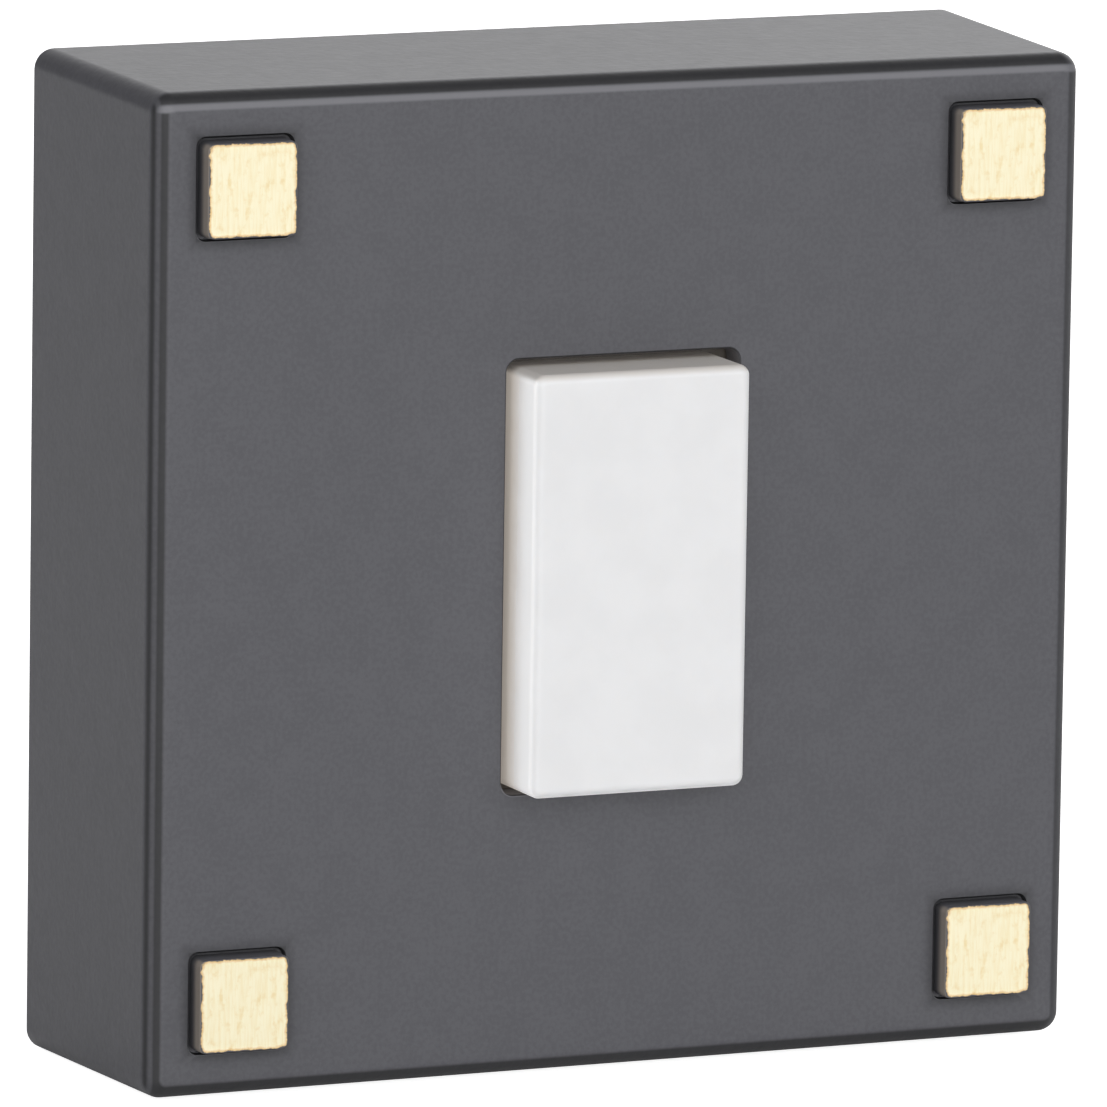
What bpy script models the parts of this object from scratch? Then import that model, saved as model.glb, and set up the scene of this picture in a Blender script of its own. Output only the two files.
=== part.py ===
"""Illuminated surface-mount push button, built the way the real one comes apart.

Frame: metres, +Z up. The wall is the plane Y = 0, the button faces -Y, and the origin is the centre of
the rear face. Depths called "out" are distances from the wall towards the person who presses, so a
point at out is at Y = -out. Outlines are drawn in the XZ plane.
"""

import math

import bmesh
import bpy
from mathutils import Matrix, Vector

# Clearance between faces that touch on the real object
GAP = 0.0003

# Housing: a square die-cast shell whose sides lean in towards the front
BACK_WIDTH = 0.0635
SIDE_DRAFT = 0.0004
DEPTH = 0.0194
SIDE_WALL = 0.0018
FRONT_WALL = 0.0020
EDGE_RADIUS = 0.0012
CORNER_RADIUS = 0.0013
REAR_CHAMFER = 0.00025
EDGE_STEPS = 5

# Opening for the button, with a rounded lip. Its middle is given as (x, z): the cap hangs a little
# low and to the left in it.
OPENING_WIDTH = 0.0158
OPENING_HEIGHT = 0.0274
OPENING_MIDDLE = (0.00015, 0.0001)
OPENING_RADIUS = 0.0008
LIP_RADIUS = 0.00015

# Corner studs, each in a shallow recess of the front
STUD_PITCH = 0.0508
STUD_HEIGHT = 0.00125
STUD_BASE_WIDTH = 0.0060
STUD_TOP_WIDTH = 0.0059
STUD_FACE_WIDTH = 0.0057
STUD_CORNER = 0.00045
STUD_EDGE = 0.0001
STUD_SHANK_RADIUS = 0.0012
STUD_PEEN_RADIUS = 0.0019
STUD_PEEN_HEIGHT = 0.0006
RECESS_WIDTH = 0.0064
RECESS_DEPTH = 0.00035
RECESS_CORNER = 0.0006

# Button cap: hollow, held behind the front wall by its flange
CAP_WIDTH = 0.01455
CAP_HEIGHT = 0.0266
CAP_PROUD = 0.0036
CAP_WALL = 0.0016
CAP_TOP = 0.0018
CAP_EDGE = 0.0006
CAP_CORNER = 0.0007
FLANGE_WIDTH = 0.0179
FLANGE_HEIGHT = 0.0294
FLANGE_THICKNESS = 0.0012
PRESS_TRAVEL = 0.0015

# Switch base: a tray behind the front wall with four screwed ears
BASE_REAR = 0.0075
BASE_FLOOR = 0.0018
COLLAR_WALL = 0.0015
COLLAR_CLEARANCE = 0.00035
EAR_WIDTH = 0.0080
EAR_HEIGHT = 0.0060
EAR_INSET = 0.0001
POST_X = 0.0148
POST_Z = 0.0122
POST_RADIUS = 0.0028
PILOT_RADIUS = 0.00115
PILOT_DEPTH = 0.0060

# Return springs stand on pegs of the base, above and below the middle
SPRING_Z = 0.0089
SPRING_RADIUS = 0.00208
SPRING_WIRE = 0.00045
SPRING_TURNS = 6
PEG_RADIUS = 0.0013
PEG_HEIGHT = 0.0020
SPIGOT_RADIUS = 0.0015
SPIGOT_LENGTH = 0.0020

# Circuit board and what is soldered to it
BOARD_THICKNESS = 0.0016
BOARD_WIDTH = 0.0179
BOARD_HEIGHT = 0.0294
LED_Z = 0.0026
LED_RADIUS = 0.0015
LED_RIM_RADIUS = 0.0019
LED_RIM_HEIGHT = 0.0010
LED_LENGTH = 0.0053
LED_LEAD_SPACING = 0.00254
COMPONENT_X = 0.0043
COMPONENT_Z = 0.0034
RESISTOR_RADIUS = 0.0009
DIODE_RADIUS = 0.0010
BARREL_LENGTH = 0.0040
BARREL_END_SHARE = 0.7
LEAD_SPAN = 0.0076
LEAD_RADIUS = 0.00025
LEAD_HOLE_RADIUS = 0.00055

# Contacts: a bridge on the cap's plunger closes two rivets on the board
CONTACT_Z = -0.0036
CONTACT_X = 0.0036
RIVET_HEAD_RADIUS = 0.0014
RIVET_HEAD_HEIGHT = 0.0008
RIVET_SHANK_RADIUS = 0.0006
RIVET_EDGE = 0.0002
BRIDGE_LENGTH = 0.0102
BRIDGE_WIDTH = 0.0040
BRIDGE_THICKNESS = 0.0004
BRIDGE_CORNER = 0.0010
PLUNGER_RADIUS = 0.0015
PLUNGER_TIP_RADIUS = 0.0007
PLUNGER_HEAD_RADIUS = 0.0014
PLUNGER_HEAD_HEIGHT = 0.0005
CONTACT_SPRING_RADIUS = 0.0020
CONTACT_SPRING_WIRE = 0.0004
CONTACT_SPRING_TURNS = 5

# Compression springs: the rise of a closed end turn, in wire diameters
CLOSE_TURN_RISE = 1.25
COIL_POINTS_PER_TURN = 14

# Terminals on the rear of the base
TERMINAL_X = 0.0039
TERMINAL_Z = 0.0105
TERMINAL_WIDTH = 0.0077
TERMINAL_HEIGHT = 0.0070
TERMINAL_THICKNESS = 0.0008
TAB_WIDTH = 0.0020
TAB_RISE = 0.0008
TERMINAL_SCREW_RADIUS = 0.0013
TERMINAL_HEAD_RADIUS = 0.0028
TERMINAL_HEAD_HEIGHT = 0.0018

# Back plate on the wall
PLATE_WIDTH = 0.0590
PLATE_THICKNESS = 0.0020
PLATE_CORNER = 0.0014
PLATE_RIM_WIDTH = 0.0544
PLATE_RIM_WALL = 0.0013
PLATE_RIM_OUT = 0.0042
SLOT_WIDTH = 0.0044
SLOT_LENGTH = 0.0080
SLOT_END_FLAT = 0.0001
UPPER_SLOT_Z = 0.0195
LOWER_SLOT_Z = -0.0175
ENTRY_X = 0.0130
ENTRY_WIDTH = 0.0110
ENTRY_HEIGHT = 0.0160
ENTRY_CORNER = 0.0020

# Hook at the top: a rib of the housing behind a lip of the back plate
RIB_WIDTH = 0.0180
RIB_OUT = 0.0032
RIB_THICKNESS = 0.0014
RIB_Z = 0.0282
HOOK_WIDTH = 0.0140
HOOK_WALL = 0.0015
HOOK_TOP_Z = 0.0294

# Locking screw at the bottom, driven upwards into an ear of the back plate
LOCK_OUT = 0.0055
LOCK_HEAD_RADIUS = 0.0027
LOCK_HEAD_HEIGHT = 0.00115
LOCK_SHANK_RADIUS = 0.00125
LOCK_RECESS_Z = -0.0301
LOCK_PAD_WIDTH = 0.0100
LOCK_PAD_Z = -0.0285
LOCK_PAD_OUT = 0.0100
LOCK_EAR_WIDTH = 0.0090
LOCK_EAR_THICKNESS = 0.0050
LOCK_EAR_OUT = 0.0092
LOCK_END_Z = -0.0224

# Screws with plain shanks: the threads are not drawn
BASE_HEAD_RADIUS = 0.0022
BASE_HEAD_HEIGHT = 0.0015
BASE_SHANK_RADIUS = 0.00085
BASE_SHANK_LENGTH = 0.0072
SLOT_CUT_WIDTH = 0.0007
SLOT_CUT_DEPTH = 0.0006
SCREW_EDGE_SHARE = 0.25

CORNER_STEPS = 5
RING_POINTS = 4 * (CORNER_STEPS + 1)
SMALL_RING_POINTS = 12
OVERCUT = 0.0010
SMOOTH_ANGLE = math.radians(35)

BASE_INSIDE = BASE_REAR + BASE_FLOOR
BOARD_REAR = BASE_INSIDE + GAP
BOARD_FRONT = BOARD_REAR + BOARD_THICKNESS
FRONT_INSIDE = DEPTH - FRONT_WALL
FLANGE_FRONT = FRONT_INSIDE - GAP
FLANGE_REAR = FLANGE_FRONT - FLANGE_THICKNESS
CAP_FACE = DEPTH + CAP_PROUD
CAP_CEILING = CAP_FACE - CAP_TOP
RIVET_TOP = BOARD_FRONT + GAP + RIVET_HEAD_HEIGHT
BRIDGE_REAR = RIVET_TOP + GAP + PRESS_TRAVEL
BRIDGE_FRONT = BRIDGE_REAR + BRIDGE_THICKNESS
TERMINAL_REAR = BASE_REAR - GAP - TERMINAL_THICKNESS
CORNERS = (("top_left", -1, 1), ("top_right", 1, 1), ("bottom_left", -1, -1), ("bottom_right", 1, -1))


# Outlines and bodies

def rectangle(width, height, radius, out, centre=(0.0, 0.0)):
    """A rounded rectangle parallel to the wall, counter-clockwise from the front."""
    ring = []
    for corner in range(4):
        across = 1 if corner in (0, 3) else -1
        upward = 1 if corner in (0, 1) else -1
        for step in range(CORNER_STEPS + 1):
            angle = (corner + step / CORNER_STEPS) * math.pi / 2
            x = centre[0] + across * (width / 2 - radius) + radius * math.cos(angle)
            z = centre[1] + upward * (height / 2 - radius) + radius * math.sin(angle)
            ring.append(Vector((x, -out, z)))
    return ring


def square(width, radius, out, centre=(0.0, 0.0)):
    """A rounded square parallel to the wall."""
    return rectangle(width, width, radius, out, centre)


def circle(radius, out, centre=(0.0, 0.0), points=RING_POINTS):
    """A circle parallel to the wall. By default it has as many points as a rectangle, to join one."""
    ring = []
    for index in range(points):
        angle = 2 * math.pi * (index + 0.5) / points
        x = centre[0] + radius * math.cos(angle)
        z = centre[1] + radius * math.sin(angle)
        ring.append(Vector((x, -out, z)))
    return ring


def block(low_x, high_x, low_out, high_out, low_z, high_z):
    """The two end outlines of a plain block."""
    ends = []
    for out in (low_out, high_out):
        ends.append([Vector((low_x, -out, low_z)), Vector((high_x, -out, low_z)),
                     Vector((high_x, -out, high_z)), Vector((low_x, -out, high_z))])
    return ends


def turned(sections, centre=(0.0, 0.0), points=SMALL_RING_POINTS):
    """A round body square to the wall, from (radius, out) sections."""
    return [circle(radius, out, centre, points) for radius, out in sections]


def upright(rings, out):
    """Stands a body up, so that what ran out from the wall runs up along Z at a distance out."""
    matrix = Matrix.Translation((0.0, -out, 0.0)) @ Matrix.Rotation(-math.pi / 2, 4, "X")
    return [[matrix @ point for point in ring] for ring in rings]


def wire(path, radius, points=6):
    """A bent wire in a plane X = constant, mitred at its bends."""
    rings = []
    for index, point in enumerate(path):
        before = (point - path[index - 1]).normalized() if index else None
        after = (path[index + 1] - point).normalized() if index + 1 < len(path) else None
        along = ((before or after) + (after or before)).normalized()
        side = Vector((1.0, 0.0, 0.0))
        normal = side.cross(along)
        stretch = 1.0 / along.dot(before or after)
        ring = []
        for step in range(points):
            angle = 2 * math.pi * step / points
            ring.append(point + radius * (math.cos(angle) * side + stretch * math.sin(angle) * normal))
        rings.append(ring)
    return rings


def add_body(mesh, rings, looped=False):
    """Skins a row of rings. Its ends are closed, or with looped its last ring joins the first."""
    rows = [[mesh.verts.new(point) for point in ring] for ring in rings]
    pairs = list(zip(rows, rows[1:]))
    if looped:
        pairs.append((rows[-1], rows[0]))
    else:
        mesh.faces.new(rows[0])
        mesh.faces.new(rows[-1])
    for low, high in pairs:
        for index in range(len(low)):
            after = (index + 1) % len(low)
            mesh.faces.new((low[index], low[after], high[after], high[index]))


def make_object(name, bodies, material=None, looped=False):
    """One object from one or more bodies, each a row of rings."""
    mesh = bmesh.new()
    for rings in bodies:
        add_body(mesh, rings, looped)
    bmesh.ops.recalc_face_normals(mesh, faces=mesh.faces)
    data = bpy.data.meshes.new(name)
    mesh.to_mesh(data)
    mesh.free()
    data.shade_smooth()
    data.set_sharp_from_angle(angle=SMOOTH_ANGLE)
    thing = bpy.data.objects.new(name, data)
    bpy.context.scene.collection.objects.link(thing)
    if material:
        data.materials.append(material)
    return thing


def combine(target, operation, bodies):
    """Joins bodies to an object, or cuts them from it, with a Boolean on a hidden tool."""
    tool = make_object(f"{target.name}_{operation.lower()}", bodies)
    tool.hide_render = True
    tool.display_type = "WIRE"
    boolean = target.modifiers.new(operation.title(), "BOOLEAN")
    boolean.operation = operation
    boolean.solver = "EXACT"
    boolean.object = tool


def set_origin(thing, point):
    """Moves an object's origin without moving its shape."""
    thing.data.transform(Matrix.Translation(-Vector(point)))
    thing.location = point


def make_material(name, colour, roughness, metallic=0.0, transmission=0.0):
    """A material with the finish of one kind of piece."""
    material = bpy.data.materials.new(name)
    material.use_nodes = True
    shader = material.node_tree.nodes["Principled BSDF"]
    shader.inputs["Base Color"].default_value = (*colour, 1.0)
    shader.inputs["Roughness"].default_value = roughness
    shader.inputs["Metallic"].default_value = metallic
    shader.inputs["Transmission Weight"].default_value = transmission
    return material


# Housing and studs

def outer_width(out):
    """Width of the housing across its sides at a distance from the wall."""
    return BACK_WIDTH - 2 * SIDE_DRAFT * out / DEPTH


def housing_rings():
    """The shell's section: up the outside, over the front, through the opening and back inside."""
    rings = [square(BACK_WIDTH - 2 * REAR_CHAMFER, CORNER_RADIUS - REAR_CHAMFER, 0.0)]
    rings.append(square(outer_width(REAR_CHAMFER), CORNER_RADIUS, REAR_CHAMFER))
    shoulder = DEPTH - EDGE_RADIUS
    for step in range(EDGE_STEPS + 1):
        angle = step / EDGE_STEPS * math.pi / 2
        inset = EDGE_RADIUS * (1 - math.cos(angle))
        out = shoulder + EDGE_RADIUS * math.sin(angle)
        rings.append(square(outer_width(shoulder) - 2 * inset, CORNER_RADIUS - inset, out))
    for step in range(EDGE_STEPS + 1):
        angle = step / EDGE_STEPS * math.pi / 2
        spread = LIP_RADIUS * (1 - math.sin(angle))
        out = DEPTH - LIP_RADIUS * (1 - math.cos(angle))
        rings.append(rectangle(OPENING_WIDTH + 2 * spread, OPENING_HEIGHT + 2 * spread,
                               OPENING_RADIUS + spread, out, OPENING_MIDDLE))
    rings.append(rectangle(OPENING_WIDTH, OPENING_HEIGHT, OPENING_RADIUS, FRONT_INSIDE, OPENING_MIDDLE))
    rings.append(square(outer_width(FRONT_INSIDE) - 2 * SIDE_WALL, CORNER_RADIUS, FRONT_INSIDE))
    rings.append(square(BACK_WIDTH - 2 * SIDE_WALL, CORNER_RADIUS, 0.0))
    return rings


def screw_posts():
    """Posts behind the front wall that the switch base is screwed to."""
    sections = ((POST_RADIUS, BASE_INSIDE + GAP), (POST_RADIUS, FRONT_INSIDE + FRONT_WALL / 4))
    return [turned(sections, (sx * POST_X, sz * POST_Z), RING_POINTS) for _, sx, sz in CORNERS]


def stud_recess(centre):
    """The cut for one stud: a shallow square recess and a hole for its shank."""
    radius = STUD_SHANK_RADIUS + GAP
    floor = DEPTH - RECESS_DEPTH
    return [square(RECESS_WIDTH, RECESS_CORNER, DEPTH + OVERCUT, centre),
            square(RECESS_WIDTH, RECESS_CORNER, floor, centre),
            circle(radius, floor, centre),
            circle(radius, FRONT_INSIDE - OVERCUT, centre)]


def stud_centre(sx, sz):
    return (sx * STUD_PITCH / 2, sz * STUD_PITCH / 2)


def build_housing(material):
    housing = make_object("housing", [housing_rings()], material, looped=True)
    rib = block(-RIB_WIDTH / 2, RIB_WIDTH / 2, RIB_OUT, RIB_OUT + RIB_THICKNESS,
                RIB_Z, BACK_WIDTH / 2 - SIDE_WALL / 2)
    pad = block(-LOCK_PAD_WIDTH / 2, LOCK_PAD_WIDTH / 2, PLATE_THICKNESS + GAP, LOCK_PAD_OUT,
                -BACK_WIDTH / 2 + SIDE_WALL / 2, LOCK_PAD_Z)
    combine(housing, "UNION", screw_posts() + [rib, pad])
    pilots = []
    for _, sx, sz in CORNERS:
        sections = ((PILOT_RADIUS, BASE_INSIDE - OVERCUT), (PILOT_RADIUS, BASE_INSIDE + GAP + PILOT_DEPTH))
        pilots.append(turned(sections, (sx * POST_X, sz * POST_Z)))
    recesses = [stud_recess(stud_centre(sx, sz)) for _, sx, sz in CORNERS]
    head_hole = LOCK_HEAD_RADIUS + GAP
    shank_hole = LOCK_SHANK_RADIUS + GAP
    lock = turned(((head_hole, -BACK_WIDTH / 2 - OVERCUT), (head_hole, LOCK_RECESS_Z),
                   (shank_hole, LOCK_RECESS_Z), (shank_hole, LOCK_PAD_Z + OVERCUT)), points=RING_POINTS)
    combine(housing, "DIFFERENCE", pilots + recesses + [upright(lock, LOCK_OUT)])


def build_studs(material):
    """A stud's head tapers to its face, and its shank is peened over inside the front wall."""
    under = DEPTH - RECESS_DEPTH + GAP
    top = DEPTH + STUD_HEIGHT
    peen = FRONT_INSIDE - GAP
    for name, sx, sz in CORNERS:
        centre = stud_centre(sx, sz)
        rings = [circle(STUD_PEEN_RADIUS, peen - STUD_PEEN_HEIGHT, centre),
                 circle(STUD_PEEN_RADIUS, peen, centre),
                 circle(STUD_SHANK_RADIUS, peen, centre),
                 circle(STUD_SHANK_RADIUS, under, centre),
                 square(STUD_BASE_WIDTH, STUD_CORNER + STUD_EDGE, under, centre),
                 square(STUD_TOP_WIDTH, STUD_CORNER, top - STUD_EDGE, centre),
                 square(STUD_FACE_WIDTH, STUD_CORNER - STUD_EDGE, top, centre)]
        make_object(f"corner_stud_{name}", [rings], material)


# Back plate

def hook_rings():
    """The hook's L-shaped section, drawn at both ends of its width."""
    behind = RIB_OUT + RIB_THICKNESS + GAP
    stem_top = RIB_Z - GAP
    section = ((PLATE_THICKNESS / 2, stem_top - HOOK_WALL), (behind + HOOK_WALL, stem_top - HOOK_WALL),
               (behind + HOOK_WALL, HOOK_TOP_Z), (behind, HOOK_TOP_Z),
               (behind, stem_top), (PLATE_THICKNESS / 2, stem_top))
    return [[Vector((x, -out, z)) for out, z in section] for x in (-HOOK_WIDTH / 2, HOOK_WIDTH / 2)]


def through_plate(width, height, radius, centre):
    """A hole through the back plate."""
    return [rectangle(width, height, radius, out, centre) for out in (-OVERCUT, PLATE_THICKNESS + OVERCUT)]


def build_back_plate(material):
    inner_rim = PLATE_RIM_WIDTH - 2 * PLATE_RIM_WALL
    rings = [square(PLATE_WIDTH, PLATE_CORNER, 0.0),
             square(PLATE_WIDTH, PLATE_CORNER, PLATE_THICKNESS),
             square(PLATE_RIM_WIDTH, PLATE_CORNER, PLATE_THICKNESS),
             square(PLATE_RIM_WIDTH, PLATE_CORNER, PLATE_RIM_OUT),
             square(inner_rim, PLATE_CORNER, PLATE_RIM_OUT),
             square(inner_rim, PLATE_CORNER, PLATE_THICKNESS)]
    plate = make_object("back_plate", [rings], material)
    ear_face = LOCK_PAD_Z + GAP
    ear = block(-LOCK_EAR_WIDTH / 2, LOCK_EAR_WIDTH / 2, PLATE_THICKNESS / 2, LOCK_EAR_OUT,
                ear_face, ear_face + LOCK_EAR_THICKNESS)
    combine(plate, "UNION", [hook_rings(), ear])
    thread = LOCK_SHANK_RADIUS + GAP
    pilot = turned(((thread, ear_face - OVERCUT), (thread, ear_face + LOCK_EAR_THICKNESS + OVERCUT)))
    end_radius = SLOT_WIDTH / 2 - SLOT_END_FLAT
    cuts = [through_plate(SLOT_WIDTH, SLOT_LENGTH, end_radius, (0.0, UPPER_SLOT_Z)),
            through_plate(SLOT_LENGTH, SLOT_WIDTH, end_radius, (0.0, LOWER_SLOT_Z)),
            through_plate(ENTRY_WIDTH, ENTRY_HEIGHT, ENTRY_CORNER, (ENTRY_X, 0.0)),
            upright(pilot, LOCK_OUT)]
    combine(plate, "DIFFERENCE", cuts)


# Switch base, circuit board and what they carry

def build_switch_base(material):
    """A tray whose collar guides the cap's flange, with pegs for the springs and four ears."""
    inner_width = FLANGE_WIDTH + 2 * COLLAR_CLEARANCE
    inner_height = FLANGE_HEIGHT + 2 * COLLAR_CLEARANCE
    collar_width = inner_width + 2 * COLLAR_WALL
    collar_height = inner_height + 2 * COLLAR_WALL
    corner = CAP_CORNER + COLLAR_CLEARANCE
    rings = [rectangle(collar_width, collar_height, corner + COLLAR_WALL, BASE_REAR),
             rectangle(collar_width, collar_height, corner + COLLAR_WALL, FLANGE_FRONT),
             rectangle(inner_width, inner_height, corner, FLANGE_FRONT),
             rectangle(inner_width, inner_height, corner, BASE_INSIDE)]
    base = make_object("switch_base", [rings], material)
    ears = []
    for _, sx, sz in CORNERS:
        centre = (sx * (POST_X + EAR_HEIGHT / 2 - EAR_WIDTH / 2), sz * POST_Z)
        ears.append([rectangle(EAR_WIDTH, EAR_HEIGHT, EAR_HEIGHT / 2 - EAR_INSET, out, centre)
                     for out in (BASE_REAR + EAR_INSET, BASE_INSIDE - EAR_INSET)])
    pegs = []
    for sign in (-1, 1):
        sections = ((PEG_RADIUS, BASE_REAR + BASE_FLOOR / 2), (PEG_RADIUS, BOARD_FRONT + PEG_HEIGHT))
        pegs.append(turned(sections, (0.0, sign * SPRING_Z)))
    combine(base, "UNION", ears + pegs)
    holes = []
    for _, sx, sz in CORNERS:
        radius = BASE_SHANK_RADIUS + 2 * GAP
        sections = ((radius, BASE_REAR - OVERCUT), (radius, BASE_INSIDE + OVERCUT))
        holes.append(turned(sections, (sx * POST_X, sz * POST_Z)))
    for sign in (-1, 1):
        radius = TERMINAL_SCREW_RADIUS + GAP
        sections = ((radius, BASE_REAR - OVERCUT), (radius, BASE_INSIDE + OVERCUT))
        holes.append(turned(sections, (TERMINAL_X, sign * TERMINAL_Z)))
        holes.append(tab_slot(sign, BASE_REAR - OVERCUT, BASE_INSIDE + OVERCUT))
    combine(base, "DIFFERENCE", holes)


def tab_slot(sign, low_out, high_out):
    """A slot that a terminal's tab passes through with clearance."""
    high_x = TERMINAL_X - TERMINAL_THICKNESS / 2 + TERMINAL_WIDTH / 2 + GAP
    half = TAB_WIDTH / 2 + GAP
    middle = sign * TERMINAL_Z
    low_x = high_x - TERMINAL_THICKNESS - 2 * GAP
    return block(low_x, high_x, low_out, high_out, middle - half, middle + half)


def build_circuit_board(material):
    rings = [rectangle(BOARD_WIDTH, BOARD_HEIGHT, CAP_CORNER, out) for out in (BOARD_REAR, BOARD_FRONT)]
    board = make_object("circuit_board", [rings], material)
    low = BOARD_REAR - OVERCUT
    high = BOARD_FRONT + OVERCUT
    holes = []
    for sign in (-1, 1):
        spots = ((PEG_RADIUS + GAP, (0.0, sign * SPRING_Z)),
                 (RIVET_SHANK_RADIUS + GAP, (sign * CONTACT_X, CONTACT_Z)),
                 (LEAD_HOLE_RADIUS, (sign * LED_LEAD_SPACING / 2, LED_Z)),
                 (LEAD_HOLE_RADIUS, (COMPONENT_X, COMPONENT_Z + sign * LEAD_SPAN / 2)),
                 (LEAD_HOLE_RADIUS, (-COMPONENT_X, COMPONENT_Z + sign * LEAD_SPAN / 2)))
        for radius, centre in spots:
            holes.append(turned(((radius, low), (radius, high)), centre))
        holes.append(tab_slot(sign, low, high))
    combine(board, "DIFFERENCE", holes)


def build_led(material):
    """A 3 mm light-emitting diode: rim, barrel and dome, with two leads."""
    foot = BOARD_FRONT + GAP
    dome = foot + LED_LENGTH - LED_RADIUS
    rim = foot + LED_RIM_HEIGHT
    sections = [(LED_RIM_RADIUS, foot), (LED_RIM_RADIUS, rim), (LED_RADIUS, rim)]
    for step in range(EDGE_STEPS):
        angle = step / EDGE_STEPS * math.pi / 2
        sections.append((LED_RADIUS * math.cos(angle), dome + LED_RADIUS * math.sin(angle)))
    led = make_object("led_lamp", [turned(sections, (0.0, LED_Z), RING_POINTS)], material)
    leads = []
    for sign in (-1, 1):
        centre = (sign * LED_LEAD_SPACING / 2, LED_Z)
        leads.append(turned(((LEAD_RADIUS, BOARD_REAR), (LEAD_RADIUS, (foot + rim) / 2)), centre))
    combine(led, "UNION", leads)


def build_axial_component(name, x, radius, material):
    """A barrel lying on the board with its two leads bent down through it."""
    axis_out = BOARD_FRONT + GAP + radius
    end_radius = BARREL_END_SHARE * radius
    end = BARREL_LENGTH / 2
    shoulder = end - (radius - end_radius)
    sections = ((end_radius, -end), (radius, -shoulder), (radius, shoulder), (end_radius, end))
    barrel = upright(turned(sections), axis_out)
    barrel = [[point + Vector((x, 0.0, COMPONENT_Z)) for point in ring] for ring in barrel]
    component = make_object(name, [barrel], material)
    path = []
    for out, offset in ((BOARD_REAR, -0.5), (axis_out, -0.5), (axis_out, 0.5), (BOARD_REAR, 0.5)):
        path.append(Vector((x, -out, COMPONENT_Z + offset * LEAD_SPAN)))
    combine(component, "UNION", [wire(path, LEAD_RADIUS)])


def build_fixed_contacts(material):
    for name, sign in (("left", -1), ("right", 1)):
        sections = ((RIVET_SHANK_RADIUS, BOARD_REAR), (RIVET_SHANK_RADIUS, BOARD_FRONT + GAP),
                    (RIVET_HEAD_RADIUS, BOARD_FRONT + GAP), (RIVET_HEAD_RADIUS, RIVET_TOP - RIVET_EDGE),
                    (RIVET_HEAD_RADIUS - RIVET_EDGE, RIVET_TOP))
        make_object(f"fixed_contact_{name}", [turned(sections, (sign * CONTACT_X, CONTACT_Z))], material)


def build_terminals(plate_material, screw_material):
    """Brass plates on the rear of the base, each with a tab up to the board and a screw."""
    left = TERMINAL_X - TERMINAL_THICKNESS / 2 - TERMINAL_WIDTH / 2
    right = left + TERMINAL_WIDTH
    front = TERMINAL_REAR + TERMINAL_THICKNESS
    for name, sign in (("upper", 1), ("lower", -1)):
        middle = sign * TERMINAL_Z
        half = TERMINAL_HEIGHT / 2
        plate = make_object(f"terminal_plate_{name}",
                            [block(left, right, TERMINAL_REAR, front, middle - half, middle + half)],
                            plate_material)
        tab = block(right - TERMINAL_THICKNESS, right, TERMINAL_REAR, BOARD_FRONT + TAB_RISE,
                    middle - TAB_WIDTH / 2, middle + TAB_WIDTH / 2)
        combine(plate, "UNION", [tab])
        hole = TERMINAL_SCREW_RADIUS + GAP
        sections = ((hole, TERMINAL_REAR - OVERCUT), (hole, front + OVERCUT))
        combine(plate, "DIFFERENCE", [turned(sections, (TERMINAL_X, middle))])
        head = TERMINAL_REAR - GAP
        build_screw(f"terminal_screw_{name}", (TERMINAL_X, middle), head, TERMINAL_HEAD_RADIUS,
                    TERMINAL_HEAD_HEIGHT, TERMINAL_SCREW_RADIUS, BASE_INSIDE - head, screw_material)


# Screws

def screw_rings(seat, head_radius, head_height, shank_radius, shank_length, centre=(0.0, 0.0)):
    """A screw whose head sits at seat and whose shank runs away from the wall."""
    edge = SCREW_EDGE_SHARE * head_height
    sections = ((head_radius - edge, seat - head_height), (head_radius, seat - head_height + edge),
                (head_radius, seat), (shank_radius, seat), (shank_radius, seat + shank_length - edge),
                (shank_radius / 2, seat + shank_length))
    return turned(sections, centre, RING_POINTS)


def driver_slot(seat, head_radius, head_height, centre=(0.0, 0.0)):
    """The screwdriver slot across a head's outer face."""
    face = seat - head_height
    half = SLOT_CUT_WIDTH / 2
    return block(centre[0] - head_radius - OVERCUT, centre[0] + head_radius + OVERCUT,
                 face - OVERCUT, face + SLOT_CUT_DEPTH, centre[1] - half, centre[1] + half)


def build_screw(name, centre, seat, head_radius, head_height, shank_radius, shank_length, material):
    rings = screw_rings(seat, head_radius, head_height, shank_radius, shank_length, centre)
    screw = make_object(name, [rings], material)
    combine(screw, "DIFFERENCE", [driver_slot(seat, head_radius, head_height, centre)])


def build_base_screws(material):
    seat = BASE_REAR + EAR_INSET - GAP
    for name, sx, sz in CORNERS:
        build_screw(f"base_screw_{name}", (sx * POST_X, sz * POST_Z), seat, BASE_HEAD_RADIUS,
                    BASE_HEAD_HEIGHT, BASE_SHANK_RADIUS, BASE_SHANK_LENGTH, material)


def build_housing_screw(material):
    """The locking screw stands upright, its head in the recess under the housing."""
    seat = LOCK_RECESS_Z - GAP
    rings = screw_rings(seat, LOCK_HEAD_RADIUS, LOCK_HEAD_HEIGHT, LOCK_SHANK_RADIUS, LOCK_END_Z - seat)
    screw = make_object("housing_screw", [upright(rings, LOCK_OUT)], material)
    slot = driver_slot(seat, LOCK_HEAD_RADIUS, LOCK_HEAD_HEIGHT)
    combine(screw, "DIFFERENCE", [upright(slot, LOCK_OUT)])


# What moves with the button

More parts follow.
